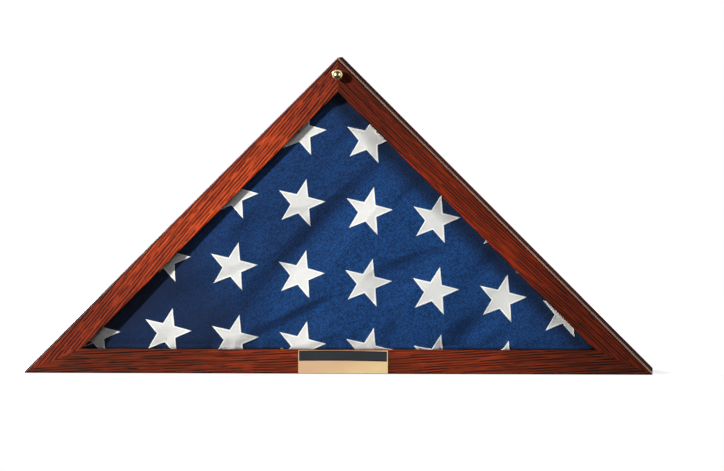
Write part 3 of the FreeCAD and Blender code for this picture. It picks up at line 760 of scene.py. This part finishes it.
def star_places():
    """The middles of the stars that lie on the flag, or lap over its edge."""
    spots = []
    for row in STAR_ROWS:
        for column in STAR_COLUMNS:
            x = STAR_START[0] + column * STAR_STEP[0] + row * STAR_ROW[0]
            z = STAR_START[1] + column * STAR_STEP[1] + row * STAR_ROW[1]
            sagged = smooth(SAG_FROM - z, 0.0, 0.5 * SAG_FROM)
            pulled = smooth(abs(x), PULL_FROM, 1.2 * PULL_FROM)
            slip = SAG[1] + SAG_LEAN * (x - SAG_LEAN_FROM)
            x, z = x + sagged * SAG[0] + pulled * PULL[0], z + sagged * slip + pulled * PULL[1]
            if min(side_insets(x, z)) > FLAG_TURN - 1.1 * STAR_RADIUS:
                spots.append((x, z))
    return spots


def flag_stars(material):
    """The embroidered stars: polar grids laid on the cloth, raised, with a rounded and stitched edge."""
    turn = np.arange(STAR_AROUND) / STAR_AROUND * 2 * math.pi
    outline = star_outline(turn)
    shares = np.r_[np.linspace(0.06, 0.80, 9), 0.85, 0.89, 0.93, 0.97, 1.0, 1.0]
    lifts = np.r_[np.full(9, 0.62), 0.8, 0.97, 1.0, 0.93, 0.6, -0.5] * STAR_LIFT
    quads = np.roll(ring_quads(len(shares), STAR_AROUND)[:, ::-1], 1, axis=1)
    edge = np.arange(STAR_AROUND)
    vertices, faces, rims = [], [], []
    for x, z in star_places():
        flat_x = x + STAR_RADIUS * shares[:, None] * outline * np.cos(turn + STAR_TILT)
        flat_z = z + STAR_RADIUS * shares[:, None] * outline * np.sin(turn + STAR_TILT)
        lift = np.repeat(lifts[:, None], STAR_AROUND, 1)
        grid = on_cloth(flat_x, flat_z, lift).reshape(-1, 3)
        middle = on_cloth(np.array([x]), np.array([z]), np.array([lifts[0]]))
        first = sum(len(part) for part in vertices)
        vertices.append(np.vstack([grid, middle]))
        rims.append(np.r_[np.repeat(shares, STAR_AROUND), 0.0])
        faces += (quads + first).tolist()
        centre = np.full(STAR_AROUND, len(grid))
        faces += (np.stack([centre, edge, (edge + 1) % STAR_AROUND], -1) + first).tolist()
    piece = finished("flag_stars", np.vstack(vertices), faces, material)
    rim = piece.data.attributes.new("rim", "FLOAT", "POINT")
    rim.data.foreach_set("value", np.concatenate(rims).astype(np.float32))
    return piece


def turned_knob(material):
    """The knob as a lathe would cut it: (radius, distance from the door) carried round the axis."""
    ball = (knob_high.x - knob_low.x) / 2
    middle = (knob_high.z + knob_low.z) / 2
    off = door_low.y - knob_low.y - ball
    neck, foot, foot_height = 0.47 * ball, 0.78 * ball, 1.4 * MM
    bend = np.linspace(0, 1, 10)
    foot_curve = np.stack([foot + 0.25 * MM * np.sin(bend * math.pi), foot_height * 0.75 * bend], -1)
    cove = np.linspace(0, math.pi / 2, 12)
    waist = 1.6 * MM
    cove_curve = np.stack(
        [neck + waist * (1 - np.sin(cove)), foot_height * 0.75 + 0.2 * MM + waist * (1 - np.cos(cove))], -1
    )
    start = math.asin(neck / ball)
    sweep = np.linspace(start, math.pi - 0.06, 60)
    ball_curve = np.stack([ball * np.sin(sweep), off - ball * np.cos(sweep)], -1)
    profile = np.vstack([foot_curve, cove_curve, ball_curve])
    turn = np.arange(KNOB_AROUND) / KNOB_AROUND * 2 * math.pi
    rings = np.stack(
        [
            profile[:, :1] * np.cos(turn),
            np.repeat(door_low.y - profile[:, 1:], len(turn), 1),
            middle + profile[:, :1] * np.sin(turn),
        ],
        -1,
    )
    front = np.array([0.0, door_low.y - off - ball, middle])
    back = np.array([0.0, door_low.y, middle])
    piece = closed_rings("turned_knob", rings, material, back, front)
    face_outwards(piece)
    return piece


def screw_spots(node, forwards):
    """The middles of a group's screw heads, from the points of its mesh on the heads' plane."""
    mesh = nodes[node].data
    points = np.empty(len(mesh.vertices) * 3, np.float32)
    mesh.vertices.foreach_get("co", points)
    points = points.reshape(-1, 3)
    plane = points[:, 1].max() if forwards else points[:, 1].min()
    points = points[np.abs(points[:, 1] - plane) < HEAD_LEVEL]
    spots = []
    while len(points):
        near = np.linalg.norm(points - points[0], axis=1) < HEAD_REACH
        spots.append((points[near].min(0) + points[near].max(0)) / 2)
        points = points[~near]
    return spots


def cross_screws(name, node, forwards, head, shank, length, material):
    """Countersunk screws: a dished head with a cross recess, a cone and a threaded shank to a point."""
    turn = np.arange(SCREW_AROUND) / SCREW_AROUND * 2 * math.pi
    radii = head * np.r_[np.linspace(0.04, 0.97, 22), 1.0]
    x, z = radii[:, None] * np.cos(turn), radii[:, None] * np.sin(turn)
    wing = 0.16 * head
    arm = np.minimum(np.abs(x), np.abs(z))
    out = np.hypot(x, z)
    recess = (1 - smooth(arm, wing * 0.8, wing * 1.3)) * (1 - smooth(out, head * 0.55, head * 0.72))
    dome = 0.05 * head * (1 - (out / head) ** 2)
    sink = recess * 0.38 * head - dome
    drop = np.linspace(0, 1, 60)
    cone = np.clip(1 - drop * length / (head - shank) * 0.8, 0, 1)
    ridge = 0.12 * shank * np.cos(2 * math.pi * drop * length / THREAD_PITCH) * smooth(drop, 0.2, 0.3)
    taper = 1 - smooth(drop, 0.82, 1.0)
    side = (shank + (head - shank) * cone + ridge) * np.clip(taper, 0.03, 1)
    sign = -1.0 if forwards else 1.0
    vertices, faces = [], []
    for spot in screw_spots(node, forwards):
        top = np.stack([spot[0] + x, spot[1] + sign * sink, spot[2] + z], -1)
        low = np.stack(
            [
                spot[0] + side[1:, None] * np.cos(turn),
                np.repeat(spot[1] + sign * (drop[1:, None] * length), SCREW_AROUND, 1),
                spot[2] + side[1:, None] * np.sin(turn),
            ],
            -1,
        )
        rings = np.concatenate([top, low])
        first = sum(len(part) for part in vertices)
        vertices.append(np.vstack([rings.reshape(-1, 3), top[0].mean(0), low[-1].mean(0)]))
        count = len(rings)
        faces += (ring_quads(count, SCREW_AROUND) + first).tolist()
        edge = np.arange(SCREW_AROUND)
        tip = count * SCREW_AROUND
        for pole, row in ((tip, 0), (tip + 1, tip - SCREW_AROUND)):
            fan = np.stack([row + edge, np.full(SCREW_AROUND, pole), row + (edge + 1) % SCREW_AROUND], -1)
            faces += (fan + first).tolist()
    piece = finished(name, np.vstack(vertices), faces, material)
    face_outwards(piece)
    return piece


def dress(node, material):
    """Gives a node's own mesh a finish."""
    slots = nodes[node].data.materials
    slots.clear()
    slots.append(material)


# Finishes
# The left stile's stain is brighter than the right stile's as a painted sheen: the key lamp's glint on its
# grain
SHEEN_PAINTED_STAIN = (srgb(232, 90, 42), srgb(110, 36, 19), srgb(14, 6, 7))
DEEP_STAIN = (srgb(160, 50, 21), srgb(86, 29, 12), srgb(8, 6, 4))
RAIL_STAIN = (srgb(164, 60, 31), srgb(92, 35, 17), srgb(10, 7, 5))
SKEW = math.radians(5)
CLEAR_OF_EDGE = 2 * EDGE  # for pieces without the darker band along the outer edge
LONG_FIGURE = (2.0, 0.8)
left_stile_wood = stained_wood(
    "left_stile_wood", SLOPE, SHEEN_PAINTED_STAIN, heart=(3.0, 0.02), tilt=0.012, seed=0.0, middle=(0.04, 0.17),
    rim=EDGE, skew=SKEW, wear_and_painted_light=(srgb(120, 58, 66), 0.0), figure=(1.4, 0.92),
)
# Its pale arris tint is a painted highlight along the rounded outer edge
right_stile_wood = stained_wood(
    "right_stile_wood", -SLOPE, DEEP_STAIN, heart=(-2.0, 0.30), tilt=0.02, seed=7.3, middle=(-0.02, 0.14),
    rim=EDGE, skew=SKEW / 2, wear_and_painted_light=(srgb(206, 160, 130), -1.0), figure=(2.6, 0.80),
)
rail_wood = stained_wood(
    "rail_wood", 0.0, RAIL_STAIN, heart=(-0.262, 0.004), tilt=0.10, seed=3.1, middle=(0.06, 0.25),
    rim=CLEAR_OF_EDGE, skew=SKEW * 0.6, figure=(3.0, 0.82), deep=(0.10, 0.26),
)
left_board_wood = stained_wood(
    "left_board_wood", SLOPE, DEEP_STAIN, heart=(2.0, 0.03), tilt=0.015, seed=11.0, middle=(0.0, 0.2),
    rim=CLEAR_OF_EDGE, figure=LONG_FIGURE, shine=0.0, coat=0.03,
)
right_board_wood = stained_wood(
    "right_board_wood", -SLOPE, DEEP_STAIN, heart=(2.0, 0.27), tilt=0.015, seed=17.0, middle=(0.0, 0.2),
    rim=CLEAR_OF_EDGE, figure=LONG_FIGURE, shine=0.0, coat=0.03,
)
base_board_wood = stained_wood(
    "base_board_wood", 0.0, DEEP_STAIN, heart=(1.0, 0.02), tilt=0.03, seed=23.0, middle=(0.0, 0.3),
    rim=CLEAR_OF_EDGE, figure=LONG_FIGURE, shine=0.0, coat=0.03,
)
knob_brass = polished_brass("knob_brass", srgb(244, 226, 168), srgb(210, 176, 102), 0.20)
hinge_brass = polished_brass("hinge_brass", srgb(204, 168, 96), srgb(158, 118, 60), 0.20)
bright_steel = steel("bright_steel", srgb(196, 196, 198), 0.20)
screw_steel = steel("screw_steel", srgb(184, 176, 150), 0.26)
point_steel = steel("point_steel", srgb(196, 170, 120), 0.32)
magnet_grey = steel("magnet_grey", srgb(70, 70, 74), 0.45)
cloth_navy = flag_cloth()

for node, material in {
    "door_left_stile": left_stile_wood,
    "door_right_stile": right_stile_wood,
    "door_bottom_rail": rail_wood,
    "left_side_board": left_board_wood,
    "right_side_board": right_board_wood,
    "base_board": base_board_wood,
    "back_panel": plywood(),
    "glass_pane": clear_glass(),
    "nameplate": plate_brass(),
    "nameplate_tape": tape_foam(),
    "glazing_points": point_steel,
    "catch_cup": bright_steel,
    "strike_disc": bright_steel,
    "catch_magnet": magnet_grey,
    "folded_flag": cloth_navy,
    "knob": knob_brass,
    "knob_screw": screw_steel,
    "back_panel_screws": screw_steel,
    "hinge_case_screws": hinge_brass,
    "hinge_door_screws": hinge_brass,
}.items():
    dress(node, material)
slip_wood = plain_wood()
for corner in ("left", "right", "top"):
    dress(f"case_spline_{corner}", slip_wood)
    dress(f"door_spline_{corner}", slip_wood)
for side in ("left", "right"):
    for piece in ("case_leaf", "door_leaf", "pin"):
        dress(f"{side}_hinge_{piece}", hinge_brass)

# The flag
flag = flag_bundle(cloth_navy)
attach(flag, "case")
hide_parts("folded_flag")
stars = flag_stars(star_thread())
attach(stars, "case")

# The knob and the screws
knob = turned_knob(knob_brass)
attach(knob, "door")
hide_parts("knob")
for name, node, forwards, body, sizes, slot, material in (
    ("cross_screws_back", "back_panel_screws", True, "case", BACK_SCREW, "screw_steel", screw_steel),
    ("cross_screws_case_leaf", "hinge_case_screws", False, "case", LEAF_SCREW, "hinge_brass", hinge_brass),
    ("cross_screws_door_leaf", "hinge_door_screws", True, "door", LEAF_SCREW, "hinge_brass", hinge_brass),
):
    head, shank, length = (size * MM for size in sizes)
    screws = cross_screws(name, node, forwards, head, shank, length, material)
    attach(screws, body)
    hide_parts(node)


# The studio: a pale shelf whose front edge lies under the hinges, lamps, and a white surround
def shelf_finish():
    """Pale matt laminate that reads as white where nothing shades it."""
    made = Finish("pale_shelf")
    seen = made.background_seen()
    grain = made.noise(made.place(), 60.0, 2.0)
    colour = made.blend(grain, *SHELF_GREY)
    matt = made.add("ShaderNodeBsdfDiffuse", {}, {0: colour})[0]
    glow = made.add("ShaderNodeEmission", {}, {0: (1, 1, 1, 1), 1: seen * SHELF_GLOW})[0]
    return made.surface(made.add("ShaderNodeAddShader", {}, [matt, glow])[0])


def pale_shelf():
    """A flat sheet from the hinge line back and to both sides."""
    x = np.array([-SHELF_REACH, SHELF_REACH, SHELF_REACH, -SHELF_REACH])
    y = np.array([case_low.y, case_low.y, SHELF_REACH, SHELF_REACH])
    points = np.stack([x, y, np.zeros(4)], -1)
    shelf = finished("shelf", points, [[0, 1, 2, 3]], shelf_finish())


def lamp(name, way, distance, size, power, colour):
    """A square lamp that faces the case."""
    light = bpy.data.lights.new(name, "AREA")
    light.size = size
    light.energy = power
    light.color = colour
    piece = bpy.data.objects.new(name, light)
    bpy.context.scene.collection.objects.link(piece)
    middle = Vector((0, 0, APEX / 2))
    piece.location = middle + way.normalized() * distance
    piece.rotation_euler = (-way).to_track_quat("-Z", "Y").to_euler()


def surround():
    """White for straight views, white behind the case in mirrors and through glass, a dim room elsewhere."""
    made = Finish("surround", world=True)
    seen = made.background_seen()
    camera = made.add("ShaderNodeLightPath")[0]
    _, back, _ = made.parts(made.add("ShaderNodeTexCoord")[0])
    white = camera.math("MAXIMUM", seen * back.step(-0.2, 0.4))
    strength = white.math("MAXIMUM", AMBIENT * (1 - seen * (1 - MIRRORED_ROOM)))
    glow = made.add("ShaderNodeBackground", {}, {0: (1, 1, 1, 1), 1: strength})[0]
    bpy.context.scene.world = made.surface(glow)


def camera():
    """The camera, by its turn, rise and distance from the point that it is aimed at."""
    lens = bpy.data.cameras.new("camera")
    lens.lens = CAMERA_LENS
    lens.sensor_width = CAMERA_SENSOR
    piece = bpy.data.objects.new("camera", lens)
    bpy.context.scene.collection.objects.link(piece)
    level = CAMERA_DISTANCE * math.cos(CAMERA_RISE)
    height = CAMERA_DISTANCE * math.sin(CAMERA_RISE)
    away = Vector((level * math.sin(CAMERA_TURN), -level * math.cos(CAMERA_TURN), height))
    piece.location = CAMERA_AIM + away
    piece.rotation_euler = (-away).to_track_quat("-Z", "Y").to_euler()
    bpy.context.scene.camera = piece


pale_shelf()
lamp("key", KEY_FROM, KEY_DISTANCE, KEY_SIZE, KEY_POWER, KEY_COLOUR)
lamp("panel", KEY_FROM, PANEL_DISTANCE, PANEL_SIZE, PANEL_POWER, PANEL_COLOUR)
lamp("fill", FILL_FROM, FILL_DISTANCE, FILL_SIZE, FILL_POWER, FILL_COLOUR)
lamp("back", BACK_FROM, BACK_DISTANCE, BACK_SIZE, BACK_POWER, BACK_COLOUR)
surround()
camera()
bpy.context.scene.view_settings.view_transform = "Standard"
